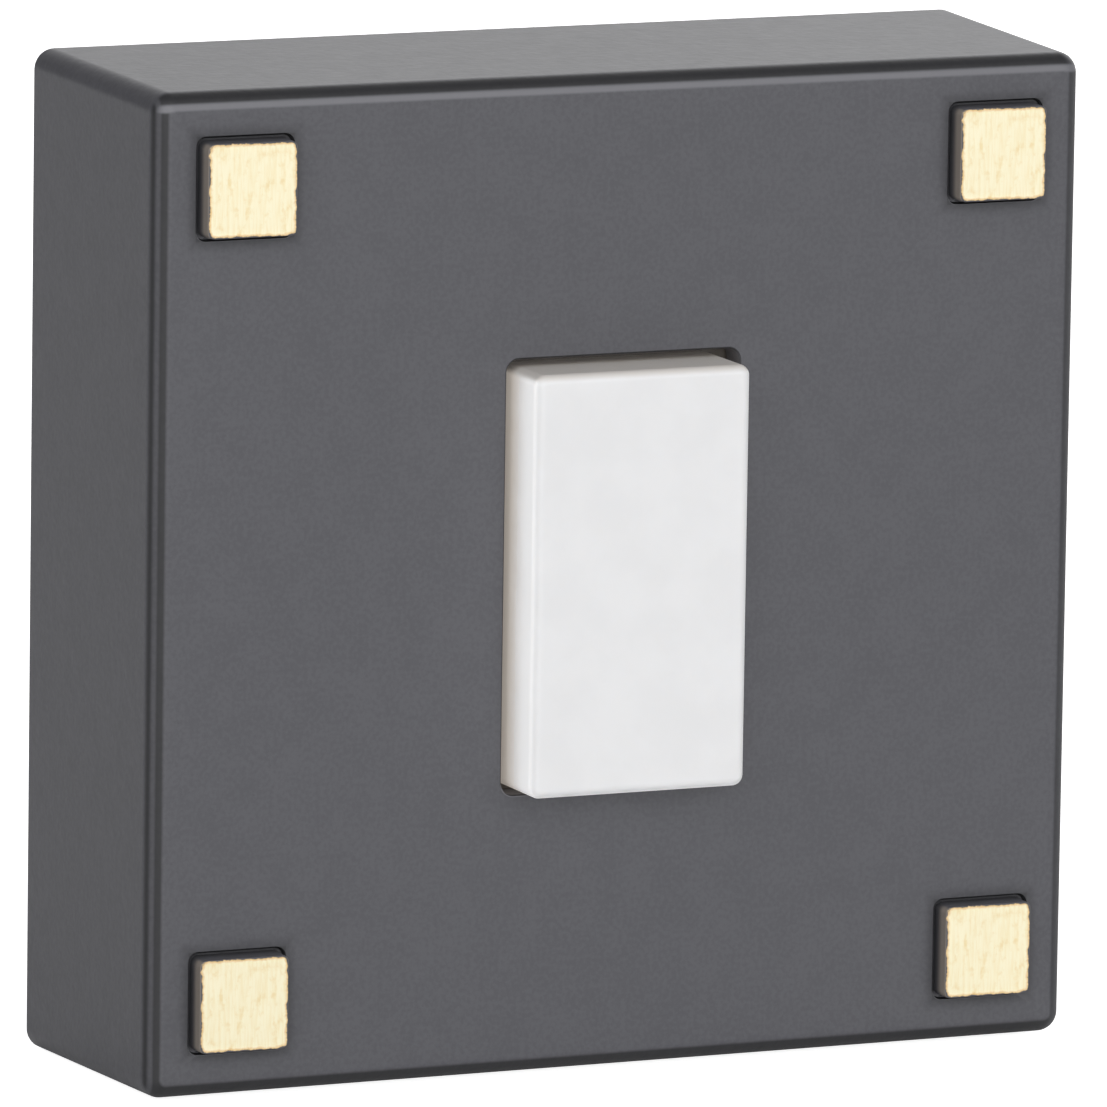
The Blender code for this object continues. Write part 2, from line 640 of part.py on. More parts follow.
def build_button_cap(material):
    """A hollow cap with a flange, two spring spigots and the plunger that carries the bridge."""
    inner_width = CAP_WIDTH - 2 * CAP_WALL
    inner_height = CAP_HEIGHT - 2 * CAP_WALL
    inner_corner = CAP_CORNER / 2
    rings = [rectangle(inner_width, inner_height, inner_corner, CAP_CEILING),
             rectangle(inner_width, inner_height, inner_corner, FLANGE_REAR),
             rectangle(FLANGE_WIDTH, FLANGE_HEIGHT, CAP_CORNER, FLANGE_REAR),
             rectangle(FLANGE_WIDTH, FLANGE_HEIGHT, CAP_CORNER, FLANGE_FRONT),
             rectangle(CAP_WIDTH, CAP_HEIGHT, CAP_CORNER, FLANGE_FRONT)]
    for step in range(EDGE_STEPS + 1):
        angle = step / EDGE_STEPS * math.pi / 2
        inset = CAP_EDGE * (1 - math.cos(angle))
        out = CAP_FACE - CAP_EDGE * (1 - math.sin(angle))
        rings.append(rectangle(CAP_WIDTH - 2 * inset, CAP_HEIGHT - 2 * inset, CAP_CORNER - inset, out))
    cap = make_object("button_cap", [rings], material)
    root = CAP_CEILING + CAP_TOP / 4
    spigots = []
    for sign in (-1, 1):
        sections = ((SPIGOT_RADIUS, CAP_CEILING - SPIGOT_LENGTH), (SPIGOT_RADIUS, root))
        spigots.append(turned(sections, (0.0, sign * SPRING_Z)))
    head = BRIDGE_REAR - GAP
    plunger = turned(((PLUNGER_HEAD_RADIUS, head - PLUNGER_HEAD_HEIGHT), (PLUNGER_HEAD_RADIUS, head),
                      (PLUNGER_TIP_RADIUS, head), (PLUNGER_TIP_RADIUS, BRIDGE_FRONT + GAP),
                      (PLUNGER_RADIUS, BRIDGE_FRONT + GAP), (PLUNGER_RADIUS, root)), (0.0, CONTACT_Z))
    combine(cap, "UNION", spigots + [plunger])
    set_origin(cap, (0.0, -CAP_FACE, 0.0))


def build_contact_bridge(material):
    rings = [rectangle(BRIDGE_LENGTH, BRIDGE_WIDTH, BRIDGE_CORNER, out, (0.0, CONTACT_Z))
             for out in (BRIDGE_REAR, BRIDGE_FRONT)]
    bridge = make_object("contact_bridge", [rings], material)
    hole = PLUNGER_TIP_RADIUS + GAP
    sections = ((hole, BRIDGE_REAR - OVERCUT), (hole, BRIDGE_FRONT + OVERCUT))
    combine(bridge, "DIFFERENCE", [turned(sections, (0.0, CONTACT_Z))])
    set_origin(bridge, (0.0, -BRIDGE_FRONT, CONTACT_Z))


def coil_points(radius, wire_diameter, turns, length):
    """Points along a compression spring with one close turn at each end."""
    close = CLOSE_TURN_RISE * wire_diameter
    run = length - wire_diameter - 2 * close
    points = []
    for index in range(turns * COIL_POINTS_PER_TURN + 1):
        turn = index / COIL_POINTS_PER_TURN
        middle = min(max(turn - 1, 0.0), turns - 2) / (turns - 2)
        ends = min(turn, 1.0) + max(turn - (turns - 1), 0.0)
        rise = wire_diameter / 2 + close * ends + run * middle
        angle = 2 * math.pi * turn
        points.append((radius * math.cos(angle), -rise, radius * math.sin(angle)))
    return points


def build_spring(name, z, rear, front, radius, wire_diameter, turns, material):
    """A coil spring square to the wall, with its origin at its rear end."""
    curve = bpy.data.curves.new(name, "CURVE")
    curve.dimensions = "3D"
    curve.bevel_depth = wire_diameter / 2
    curve.bevel_resolution = 1
    curve.use_fill_caps = True
    points = coil_points(radius, wire_diameter, turns, front - rear)
    spline = curve.splines.new("POLY")
    spline.points.add(len(points) - 1)
    for point, place in zip(spline.points, points):
        point.co = (*place, 1.0)
    curve.materials.append(material)
    spring = bpy.data.objects.new(name, curve)
    spring.location = (0.0, -rear, z)
    bpy.context.scene.collection.objects.link(spring)


def build_springs(material):
    rear = BOARD_FRONT + GAP
    front = CAP_CEILING - GAP
    for name, sign in (("upper", 1), ("lower", -1)):
        build_spring(f"return_spring_{name}", sign * SPRING_Z, rear, front,
                     SPRING_RADIUS, SPRING_WIRE, SPRING_TURNS, material)
    build_spring("contact_spring", CONTACT_Z, BRIDGE_FRONT + GAP, front,
                 CONTACT_SPRING_RADIUS, CONTACT_SPRING_WIRE, CONTACT_SPRING_TURNS, material)


def clear_scene():
    for thing in list(bpy.data.objects):
        bpy.data.objects.remove(thing, do_unlink=True)


def main():
    clear_scene()
    charcoal_paint = make_material("charcoal_paint", (0.055, 0.055, 0.060), 0.55, 0.0)
    brushed_brass = make_material("brushed_brass", (0.86, 0.68, 0.33), 0.35, 1.0)
    white_plastic = make_material("translucent_white", (0.86, 0.86, 0.85), 0.38, 0.0, 0.1)
    black_plastic = make_material("black_plastic", (0.025, 0.025, 0.027), 0.55)
    cream_plastic = make_material("switch_base_plastic", (0.72, 0.69, 0.60), 0.5)
    green_board = make_material("green_board", (0.02, 0.16, 0.07), 0.45)
    clear_resin = make_material("led_resin", (0.95, 0.95, 0.92), 0.1, 0.0, 0.8)
    tan_ceramic = make_material("resistor_ceramic", (0.62, 0.46, 0.28), 0.5)
    diode_glass = make_material("diode_glass", (0.45, 0.12, 0.05), 0.15)
    contact_bronze = make_material("contact_bronze", (0.72, 0.43, 0.26), 0.3, 1.0)
    yellow_brass = make_material("terminal_brass", (0.78, 0.58, 0.25), 0.3, 1.0)
    zinc_steel = make_material("zinc_steel", (0.62, 0.63, 0.65), 0.32, 1.0)
    spring_steel = make_material("spring_steel", (0.50, 0.50, 0.51), 0.25, 1.0)

    build_housing(charcoal_paint)
    build_studs(brushed_brass)
    build_back_plate(black_plastic)
    build_switch_base(cream_plastic)
    build_circuit_board(green_board)
    build_led(clear_resin)
    build_axial_component("led_resistor", -COMPONENT_X, RESISTOR_RADIUS, tan_ceramic)
    build_axial_component("rectifier_diode", COMPONENT_X, DIODE_RADIUS, diode_glass)
    build_fixed_contacts(contact_bronze)
    build_terminals(yellow_brass, zinc_steel)
    build_base_screws(zinc_steel)
    build_housing_screw(zinc_steel)
    build_button_cap(white_plastic)
    build_contact_bridge(contact_bronze)
    build_springs(spring_steel)


main()
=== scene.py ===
"""Looks of the surface-mount push button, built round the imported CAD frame.

Metres, +Z up. The wall is the plane Y = 0 and the button faces -Y. As in the CAD, "out" is the distance
from the wall, so a point at out is at Y = -out, and outlines are drawn in the XZ plane.
"""

import math

import bmesh
import bpy
from mathutils import Matrix, Vector


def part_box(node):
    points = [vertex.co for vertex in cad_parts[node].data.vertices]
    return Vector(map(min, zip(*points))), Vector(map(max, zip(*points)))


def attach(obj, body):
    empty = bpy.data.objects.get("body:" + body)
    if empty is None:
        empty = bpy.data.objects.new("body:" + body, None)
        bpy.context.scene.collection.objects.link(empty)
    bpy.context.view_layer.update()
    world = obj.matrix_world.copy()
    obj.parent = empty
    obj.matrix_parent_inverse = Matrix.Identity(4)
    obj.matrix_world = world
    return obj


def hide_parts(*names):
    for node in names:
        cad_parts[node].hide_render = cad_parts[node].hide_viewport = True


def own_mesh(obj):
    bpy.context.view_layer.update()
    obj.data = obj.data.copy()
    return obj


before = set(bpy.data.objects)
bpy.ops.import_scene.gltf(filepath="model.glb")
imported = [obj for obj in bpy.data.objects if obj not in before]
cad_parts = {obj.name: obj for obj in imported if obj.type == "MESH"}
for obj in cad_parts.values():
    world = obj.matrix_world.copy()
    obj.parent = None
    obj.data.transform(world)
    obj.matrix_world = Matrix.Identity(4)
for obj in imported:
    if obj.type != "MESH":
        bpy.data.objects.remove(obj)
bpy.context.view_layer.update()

# Camera: a long lens from the left and slightly above
CAMERA_YAW = math.radians(-23.82)
CAMERA_PITCH = math.radians(-9.75)
CAMERA_ROLL = math.radians(-0.83)
CAMERA_TARGET = Vector((0.004124, 0.0, -0.002144))
CAMERA_DISTANCE = 0.8814
SENSOR_WIDTH = 36.0
LENS = 450.4

# Sizes that the CAD boxes do not give
SIDE_DRAFT = 0.0004
EDGE_RADIUS = 0.0012
CORNER_RADIUS = 0.0013
SIDE_WALL = 0.0018
FRONT_WALL = 0.0020
REAR_EDGE = 0.00025
OPENING_WIDTH = 0.0158
OPENING_HEIGHT = 0.0274
OPENING_MIDDLE = (0.00015, 0.0001)
OPENING_RADIUS = 0.0008
LIP_RADIUS = 0.00015
STUD_PITCH = 0.0508
RECESS_WIDTH = 0.0064
RECESS_DEPTH = 0.00035
RECESS_CORNER = 0.0006
RECESS_LIP = 0.00008
RECESS_FILLET = 0.0001
STUD_TOP_WIDTH = 0.0059
STUD_CORNER = 0.00045
STUD_EDGE = 0.0001
STUD_SHANK_RADIUS = 0.0012
STUD_PEEN_RADIUS = 0.0019
STUD_PEEN_HEIGHT = 0.0006
STUD_PEEN_GAP = 0.0001
STUD_SEAT_GAP = 0.00003
BARE_BRASS_HALF = 0.00286
SHANK_HOLE_RADIUS = 0.0015
POST_X = 0.0148
POST_Z = 0.0122
POST_RADIUS = 0.0028
POST_REAR = 0.0096
PILOT_RADIUS = 0.00115
PILOT_FRONT = 0.0156
RIB_WIDTH = 0.0180
RIB_OUT = 0.0032
RIB_THICKNESS = 0.0014
RIB_Z = 0.0282
LOCK_OUT = 0.0055
LOCK_HEAD_HOLE = 0.0030
LOCK_SHANK_HOLE = 0.00155
LOCK_RECESS_Z = -0.0301
LOCK_PAD_WIDTH = 0.0100
LOCK_PAD_Z = -0.0285
LOCK_PAD_REAR = 0.0023
LOCK_PAD_FRONT = 0.0100
CAP_WIDTH = 0.01455
CAP_HEIGHT = 0.0266
CAP_WALL = 0.0016
CAP_TOP = 0.0018
CAP_EDGE = 0.0006
CAP_CORNER = 0.0007
FLANGE_THICKNESS = 0.0012
SPIGOT_RADIUS = 0.0015
SPIGOT_LENGTH = 0.0020
SPIGOT_CHAMFER = 0.0002
PLUNGER_HEAD_RADIUS = 0.0014
PLUNGER_HEAD_THICKNESS = 0.0005
PLUNGER_NECK_RADIUS = 0.0007
GAP = 0.0003
SPRING_Z = 0.0089
CONTACT_Z = -0.0036
COMPONENT_Z = 0.0034
BARREL_LENGTH = 0.0040
SPRING_WIRE = 0.00045
CONTACT_SPRING_WIRE = 0.0004
SPRING_TURNS = 6
CONTACT_SPRING_TURNS = 5
COIL_STEPS_PER_TURN = 40
COIL_SIDES = 12
COIL_CLOSE_TURN = 1.25
OVERCUT = 0.0010

# The frame's own sizes
HOUSING_LOW, HOUSING_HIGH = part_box("housing")
BACK_WIDTH = HOUSING_HIGH.x - HOUSING_LOW.x
DEPTH = -HOUSING_LOW.y
FRONT_INSIDE = DEPTH - FRONT_WALL
FLOOR_Z = HOUSING_LOW.z
CORNERS = (("top_left", -1, 1), ("top_right", 1, 1), ("bottom_left", -1, -1), ("bottom_right", 1, -1))

CORNER_STEPS = 9
EDGE_STEPS = 10
RING_POINTS = 4 * (CORNER_STEPS + 1)


# Outlines and bodies

def rectangle(width, height, radius, out, centre=(0.0, 0.0)):
    """A rounded rectangle parallel to the wall, counter-clockwise from the front."""
    ring = []
    for corner in range(4):
        across = 1 if corner in (0, 3) else -1
        upward = 1 if corner in (0, 1) else -1
        for step in range(CORNER_STEPS + 1):
            angle = (corner + step / CORNER_STEPS) * math.pi / 2
            x = centre[0] + across * (width / 2 - radius) + radius * math.cos(angle)
            z = centre[1] + upward * (height / 2 - radius) + radius * math.sin(angle)
            ring.append(Vector((x, -out, z)))
    return ring


def square(width, radius, out, centre=(0.0, 0.0)):
    return rectangle(width, width, radius, out, centre)


def circle(radius, out, centre=(0.0, 0.0), points=RING_POINTS):
    """A circle parallel to the wall."""
    ring = []
    for index in range(points):
        angle = 2 * math.pi * (index + 0.5) / points
        x = centre[0] + radius * math.cos(angle)
        z = centre[1] + radius * math.sin(angle)
        ring.append(Vector((x, -out, z)))
    return ring


def quarter_turn(steps=EDGE_STEPS):
    """Cosine and sine at even steps through a right angle."""
    for step in range(steps + 1):
        angle = step / steps * math.pi / 2
        yield math.cos(angle), math.sin(angle)


def skin(mesh, rings):
    """Faces between consecutive rings. Returns the rows of vertices."""
    rows = [[mesh.verts.new(point) for point in ring] for ring in rings]
    for low, high in zip(rows, rows[1:]):
        for index in range(len(low)):
            after = (index + 1) % len(low)
            mesh.faces.new((low[index], low[after], high[after], high[index]))
    return rows


def fill_between(mesh, loops):
    """A flat face inside the first loop and outside the others."""
    edges = []
    for loop in loops:
        for index in range(len(loop)):
            pair = (loop[index], loop[(index + 1) % len(loop)])
            edges.append(mesh.edges.get(pair) or mesh.edges.new(pair))
    bmesh.ops.triangle_fill(mesh, edges=edges, use_beauty=True)


def to_object(mesh, name, material):
    bmesh.ops.recalc_face_normals(mesh, faces=mesh.faces)
    data = bpy.data.meshes.new(name)
    mesh.to_mesh(data)
    mesh.free()
    thing = bpy.data.objects.new(name, data)
    bpy.context.scene.collection.objects.link(thing)
    if material:
        data.materials.append(material)
    return thing


def from_rings(name, bodies, material=None):
    """One closed object from one or more rows of rings."""
    mesh = bmesh.new()
    for rings in bodies:
        rows = skin(mesh, rings)
        mesh.faces.new(rows[0])
        mesh.faces.new(rows[-1])
    return to_object(mesh, name, material)


def combine(target, operation, bodies):
    """Joins bodies to an object, or cuts them from it."""
    tool = from_rings(f"{target.name}_tool", bodies)
    boolean = target.modifiers.new("Combine", "BOOLEAN")
    boolean.operation = operation
    boolean.solver = "EXACT"
    boolean.object = tool
    bpy.context.view_layer.update()
    graph = bpy.context.evaluated_depsgraph_get()
    result = bpy.data.meshes.new_from_object(target.evaluated_get(graph), depsgraph=graph)
    target.modifiers.remove(boolean)
    old = target.data
    target.data = result
    bpy.data.meshes.remove(old)
    bpy.data.objects.remove(tool, do_unlink=True)


def shade(thing, angle=40.0, bevel=0.0):
    """Rounds edges by bevel, and gives flat faces their own normal so that rounded edges shade cleanly."""
    thing.data.shade_smooth()
    thing.data.set_sharp_from_angle(angle=math.radians(angle))
    if bevel:
        rounding = thing.modifiers.new("Rounded edges", "BEVEL")
        rounding.width = bevel
        rounding.segments = 3
        rounding.limit_method = "ANGLE"
        rounding.angle_limit = math.radians(angle)
    weighted = thing.modifiers.new("Flat faces first", "WEIGHTED_NORMAL")
    weighted.mode = "FACE_AREA"
    weighted.weight = 60
    weighted.keep_sharp = not bevel
    return thing


def block(low, high):
    """The two end outlines of a plain block between two corners given as (x, out, z)."""
    (low_x, low_out, low_z), (high_x, high_out, high_z) = low, high
    return [[Vector((x, -out, z)) for x, z in
             ((low_x, low_z), (high_x, low_z), (high_x, high_z), (low_x, high_z))]
            for out in (low_out, high_out)]


def turned(sections, centre=(0.0, 0.0), points=RING_POINTS):
    """A round body square to the wall, from (radius, out) sections."""
    return [circle(radius, out, centre, points) for radius, out in sections]


def upright(rings, out):
    """Stands a body up, so that what ran out from the wall runs up along Z at a distance out."""
    matrix = Matrix.Translation((0.0, -out, 0.0)) @ Matrix.Rotation(-math.pi / 2, 4, "X")
    return [[matrix @ point for point in ring] for ring in rings]


def set_origin(thing, point):
    """Moves an object's origin without moving its shape."""
    thing.data.transform(Matrix.Translation(-Vector(point)))
    thing.location = point


def stand_for(piece, node, body="root"):
    """The piece takes the place of a CAD node and rides on its body."""
    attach(piece, body)
    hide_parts(node)
    return piece


# Node materials

class Nodes:
    """Short calls for building one material's node tree."""

    def __init__(self, name):
        self.material = bpy.data.materials.new(name)
        self.material.use_nodes = True
        self.tree = self.material.node_tree
        self.shader = self.tree.nodes["Principled BSDF"]
        where = self.add("ShaderNodeTexCoord")
        self.place = where.outputs["Object"]
        self.facing = where.outputs["Normal"]

    def add(self, kind, inputs=None, **settings):
        node = self.tree.nodes.new(kind)
        for key, value in settings.items():
            setattr(node, key, value)
        for key, value in (inputs or {}).items():
            self.put(node.inputs[key], value)
        return node

    def put(self, socket, value):
        if isinstance(value, bpy.types.NodeSocket):
            self.tree.links.new(value, socket)
        else:
            socket.default_value = value

    def math(self, operation, first, second=0.0, third=0.0):
        node = self.add("ShaderNodeMath", operation=operation)
        for socket, value in zip(node.inputs, (first, second, third)):
            self.put(socket, value)
        return node.outputs[0]

    def noise(self, scale, detail=2.0, roughness=0.5, stretch=(1.0, 1.0, 1.0), shift=(0.0, 0.0, 0.0)):
        """Noise over the piece, scale in features per metre."""
        mapped = self.add("ShaderNodeMapping", {"Vector": self.place, "Scale": stretch, "Location": shift})
        node = self.add("ShaderNodeTexNoise", {"Vector": mapped.outputs[0], "Scale": scale,
                                               "Detail": detail, "Roughness": roughness})
        return node.outputs[0]

    def ramp(self, value, low, high, smooth=True):
        """0 below low and 1 above high."""
        node = self.add("ShaderNodeMapRange", {"Value": value, "From Min": low, "From Max": high})
        node.interpolation_type = "SMOOTHSTEP" if smooth else "LINEAR"
        return node.outputs[0]

    def between(self, factor, low, high):
        """A value that runs from low to high with the factor."""
        node = self.add("ShaderNodeMapRange", {"Value": factor, "To Min": low, "To Max": high})
        return node.outputs[0]

    def mix(self, factor, first, second, blend="MIX"):
        node = self.add("ShaderNodeMix", data_type="RGBA", blend_type=blend)
        self.put(node.inputs[0], factor)
        self.put(node.inputs[6], first)
        self.put(node.inputs[7], second)
        return node.outputs[2]

    def bump(self, height, distance, strength=1.0, normal=None):
        inputs = {"Height": height, "Distance": distance, "Strength": strength}
        if normal:
            inputs["Normal"] = normal
        return self.add("ShaderNodeBump", inputs).outputs[0]

    def finish(self, **inputs):
        for key, value in inputs.items():
            self.put(self.shader.inputs[key.replace("_", " ")], value)
        return self.material


def colour(red, green, blue):
    """A linear colour from 0-255 screen values."""
    def linear(value):
        share = value / 255
        return share / 12.92 if share <= 0.04045 else ((share + 0.055) / 1.055) ** 2.4
    return (linear(red), linear(green), linear(blue), 1.0)


PAINT_DARK = colour(81, 81, 86)
PAINT_LIGHT = colour(87, 87, 92)


def paint_colour(nodes):
    """Charcoal powder paint: faint mottling and a few specks of dust under it."""
    broad = nodes.noise(500.0, 3.0)
    fine = nodes.noise(3200.0, 2.0)
    mottle = nodes.math("MULTIPLY_ADD", fine, 0.7, nodes.math("MULTIPLY", broad, 0.3))
    mottled = nodes.mix(nodes.ramp(mottle, 0.38, 0.62), PAINT_DARK, PAINT_LIGHT)
    cells = nodes.add("ShaderNodeTexVoronoi", {"Vector": nodes.place, "Scale": 95.0, "Randomness": 1.0})
    near = nodes.ramp(cells.outputs["Distance"], 0.024, 0.012)
    channels = nodes.add("ShaderNodeSeparateColor", {"Color": cells.outputs["Color"]})
    some = nodes.math("GREATER_THAN", channels.outputs[0], 0.72)
    pale = nodes.math("GREATER_THAN", channels.outputs[1], 0.55)
    speck = nodes.mix(pale, colour(48, 47, 48), colour(176, 172, 168))
    return nodes.mix(nodes.math("MULTIPLY", near, some), mottled, speck)


def paint_bump(nodes):
    """Orange peel: low soft swellings under a finer grain."""
    swelling = nodes.noise(1500.0, 1.5)
    grain = nodes.noise(5200.0, 2.0)
    first = nodes.bump(swelling, 0.00004, 0.55)
    return nodes.bump(grain, 0.000014, 0.4, first)


def front_edges(nodes):
    """Painted shade: how dark the rounded front edges are; painted highlight: where the pale line along the
    upper one lies.
    """
    facing = nodes.add("ShaderNodeSeparateXYZ", {"Vector": nodes.facing})
    right, rear, upper = facing.outputs
    front = nodes.math("MULTIPLY", rear, -1.0)
    left = nodes.math("MULTIPLY", right, -1.0)
    # Painted shade: the rounded front edges darken as they turn away from the front.
    turning = nodes.math("MULTIPLY", nodes.ramp(front, 0.992, 0.94), nodes.ramp(front, 0.12, 0.45))
    # Painted highlight: a paler band within the rounded left edge, where the painted shade is lifted.
    left_edge_highlight = nodes.math("MULTIPLY", nodes.ramp(left, 0.54, 0.68), nodes.ramp(left, 0.88, 0.74))
    # Painted highlight: a pale line along the upper front edge.
    sheen = nodes.math("MULTIPLY", nodes.ramp(upper, 0.02, 0.18), nodes.ramp(upper, 0.52, 0.32))
    sheen = nodes.math("MULTIPLY", sheen, nodes.ramp(front, 0.5, 0.8))
    depth = nodes.math("MULTIPLY", turning, nodes.math("MULTIPLY_ADD", left_edge_highlight, -0.6, 0.8))
    depth = nodes.math("MULTIPLY", depth, nodes.math("SUBTRACT", 1.0, sheen))
    # The painted shade is weaker on right-facing edges.
    paler = nodes.math("MULTIPLY_ADD", nodes.ramp(right, 0.1, 0.4), -0.35, 1.0)
    return nodes.math("MULTIPLY", depth, paler), sheen


def stud_recess_shade(nodes):
    """Painted shade: darkness in the recess round each stud and in a soft band outside it."""
    parts = nodes.add("ShaderNodeSeparateXYZ", {"Vector": nodes.place})
    offsets = [nodes.math("SUBTRACT", nodes.math("ABSOLUTE", parts.outputs[axis]), STUD_PITCH / 2)
               for axis in (0, 2)]
    reach = nodes.math("MAXIMUM", *[nodes.math("ABSOLUTE", offset) for offset in offsets])
    half = RECESS_WIDTH / 2
    crease = nodes.math("MULTIPLY", nodes.ramp(reach, half + 0.0001, half), 0.22)
    halo = nodes.math("MULTIPLY", nodes.ramp(reach, half + 0.0009, half - 0.0001), 0.34)
    return nodes.math("ADD", crease, halo)


def charcoal_paint():
    """Paint with painted shade over the front edges and round the studs, and a painted highlight along the
    upper front edge.
    """
    nodes = Nodes("charcoal_paint")
    edge_shade, sheen = front_edges(nodes)
    darkness = nodes.math("ADD", edge_shade, stud_recess_shade(nodes))
    # Painted shade: the paint darkens towards near-black over the front edges and in and round the stud
    # recesses.
    tone = nodes.mix(darkness, paint_colour(nodes), colour(20, 20, 21))
    # Painted highlight: the paint turns pale grey along the upper front edge.
    tone = nodes.mix(nodes.math("MULTIPLY", sheen, 0.9), tone, colour(112, 112, 117))
    rough = nodes.between(nodes.noise(900.0, 2.0), 0.36, 0.43)
    return nodes.finish(Base_Color=tone, Roughness=rough, Normal=paint_bump(nodes))


def translucent_white():
    """Milky moulding. Its weak emission is painted light that stands for light scattering through it:
    strong on the walls near
    the face, weaker and warmer towards the gap, and none on the flange in the gap. Its colour carries
    painted shade:
    warm grey towards the gap and on the upward-facing walls, and dark grey on the flange in the gap."""
    nodes = Nodes("translucent_white")
    parts = nodes.add("ShaderNodeSeparateXYZ", {"Vector": nodes.place})
    facing = nodes.add("ShaderNodeSeparateXYZ", {"Vector": nodes.facing})
    depth = nodes.math("MULTIPLY_ADD", nodes.noise(700.0, 2.0), 0.0005, parts.outputs[1])
    in_gap = nodes.ramp(depth, -DEPTH - 0.0010, -DEPTH + 0.0012)
    clouds = nodes.ramp(nodes.noise(260.0, 3.0), 0.35, 0.65)
    milk = nodes.mix(clouds, colour(219, 219, 220), colour(222, 222, 223))
    topmost = nodes.ramp(facing.outputs[2], 0.2, 0.8)
    # Painted shade: the tint turns warm grey towards the gap and on the upward-facing walls.
    gap_and_top_shade = nodes.math("MAXIMUM", in_gap, nodes.math("MULTIPLY", topmost, 0.6))
    tint = nodes.mix(gap_and_top_shade, milk, colour(196, 189, 180))
    wall = nodes.ramp(facing.outputs[1], -0.86, -0.2)
    near_face = nodes.ramp(depth, -DEPTH + 0.0002, -DEPTH - 0.0022)
    on_side = nodes.mix(near_face, (0.24, 0.215, 0.19, 1.0), (0.44, 0.44, 0.44, 1.0))
    on_wall = nodes.mix(topmost, on_side, (0.03, 0.027, 0.025, 1.0))
    scattered = nodes.mix(wall, (0.080, 0.080, 0.082, 1.0), on_wall)
    # Painted shade: the flange seen in the gap gets a dark grey tint and no glow.
    inside = nodes.ramp(parts.outputs[1], -DEPTH + 0.0017, -DEPTH + 0.0021)
    flange = nodes.math("MULTIPLY", inside, nodes.ramp(facing.outputs[1], -0.3, -0.7))
    tint = nodes.mix(flange, tint, colour(112, 106, 100))
    scattered = nodes.mix(flange, scattered, (0.0, 0.0, 0.0, 1.0))
    rough = nodes.between(nodes.noise(1800.0, 2.0), 0.34, 0.44)
    normal = nodes.bump(nodes.noise(3800.0, 2.0), 0.000006, 0.35)
    return nodes.finish(Base_Color=tint, Roughness=rough, Normal=normal, Subsurface_Weight=0.35,
                        Subsurface_Radius=(0.0010, 0.0009, 0.0008), Subsurface_Scale=1.0, IOR=1.49,
                        Emission_Color=scattered, Emission_Strength=1.0)


def brushed_stud():
    """Brass brushed along Z on the face; the paint of the housing over its sides, with a ragged edge. On
    the sides, painted light makes the sideways-facing walls paler and painted shade darkens the paint
    towards the base.
    """
    nodes = Nodes("brushed_brass")
    parts = nodes.add("ShaderNodeSeparateXYZ", {"Vector": nodes.place})
    across = nodes.math("ABSOLUTE", parts.outputs[0])
    upward = nodes.math("ABSOLUTE", parts.outputs[2])
    reach = nodes.math("SMOOTH_MAX", across, upward, 0.0006)
    ragged = nodes.math("MULTIPLY_ADD", nodes.noise(1900.0, 3.0, 0.6), 0.0004, -0.0002)
    edge = nodes.math("ADD", reach, ragged)
    over_side = nodes.ramp(edge, BARE_BRASS_HALF + 0.00003, BARE_BRASS_HALF - 0.00003)
    front = nodes.ramp(parts.outputs[1], 0.00010, 0.00004)
    bare = nodes.math("MULTIPLY", over_side, front)
    streaks = nodes.noise(5200.0, 3.0, 0.6, (1.0, 1.0, 0.09))
    blotches = nodes.noise(1700.0, 3.0, 0.6, (1.0, 1.0, 0.7))
    pale = nodes.mix(nodes.ramp(streaks, 0.30, 0.62), colour(251, 238, 198), colour(255, 247, 216))
    tarnish = nodes.ramp(blotches, 0.50, 0.72)
    face = nodes.mix(nodes.math("MULTIPLY", tarnish, 0.5), pale, colour(240, 214, 150))
    rim = nodes.ramp(edge, BARE_BRASS_HALF - 0.00019, BARE_BRASS_HALF - 0.00002)
    brass = nodes.mix(nodes.math("MULTIPLY", rim, 0.7), face, colour(232, 186, 110))
    facing = nodes.add("ShaderNodeSeparateXYZ", {"Vector": nodes.facing})
    sideways = nodes.math("ABSOLUTE", facing.outputs[0])
    # Painted light: the sideways-facing painted walls are paler.
    lit_side = nodes.math("MULTIPLY", nodes.ramp(sideways, 0.4, 0.8), 0.85)
    # Painted shade: the paint darkens towards the base of the stud.
    base_shade = nodes.ramp(parts.outputs[1], 0.0005, 0.0013)
    lit_side = nodes.math("MULTIPLY", lit_side, nodes.math("SUBTRACT", 1.0, base_shade))
    painted = nodes.mix(lit_side, paint_colour(nodes), colour(142, 133, 124))
    painted = nodes.mix(nodes.math("MULTIPLY", base_shade, 0.5), painted, colour(28, 28, 29))
    base = nodes.mix(bare, painted, brass)
    rough = nodes.math("MULTIPLY_ADD", bare, nodes.math("MULTIPLY_ADD", streaks, 0.20, -0.05), 0.5)
    relief = nodes.bump(streaks, 0.000006, 0.4)
    normal = nodes.bump(bare, -0.00003, 0.6, relief)
    metallic = nodes.math("MULTIPLY", bare, 0.4)
    return nodes.finish(Base_Color=base, Metallic=metallic, Roughness=rough, Normal=normal)


def moulded_plastic(name, dark, light, rough_low, rough_high, grain=2400.0):
    nodes = Nodes(name)
    tone = nodes.mix(nodes.ramp(nodes.noise(500.0, 3.0), 0.35, 0.65), dark, light)
    rough = nodes.between(nodes.noise(1100.0, 2.0), rough_low, rough_high)
    normal = nodes.bump(nodes.noise(grain, 2.0), 0.00002, 0.4)
    return nodes.finish(Base_Color=tone, Roughness=rough, Normal=normal)


def plated_metal(name, dark, light, rough_low=0.22, rough_high=0.38, stretch=(1.0, 1.0, 1.0), scale=1800.0):
    nodes = Nodes(name)
    streaks = nodes.noise(scale, 3.0, 0.6, stretch)
    tone = nodes.mix(nodes.ramp(streaks, 0.3, 0.7), dark, light)
    rough = nodes.between(nodes.noise(scale / 2, 2.0), rough_low, rough_high)
    normal = nodes.bump(streaks, 0.000008, 0.4)
    return nodes.finish(Base_Color=tone, Roughness=rough, Normal=normal, Metallic=1.0)


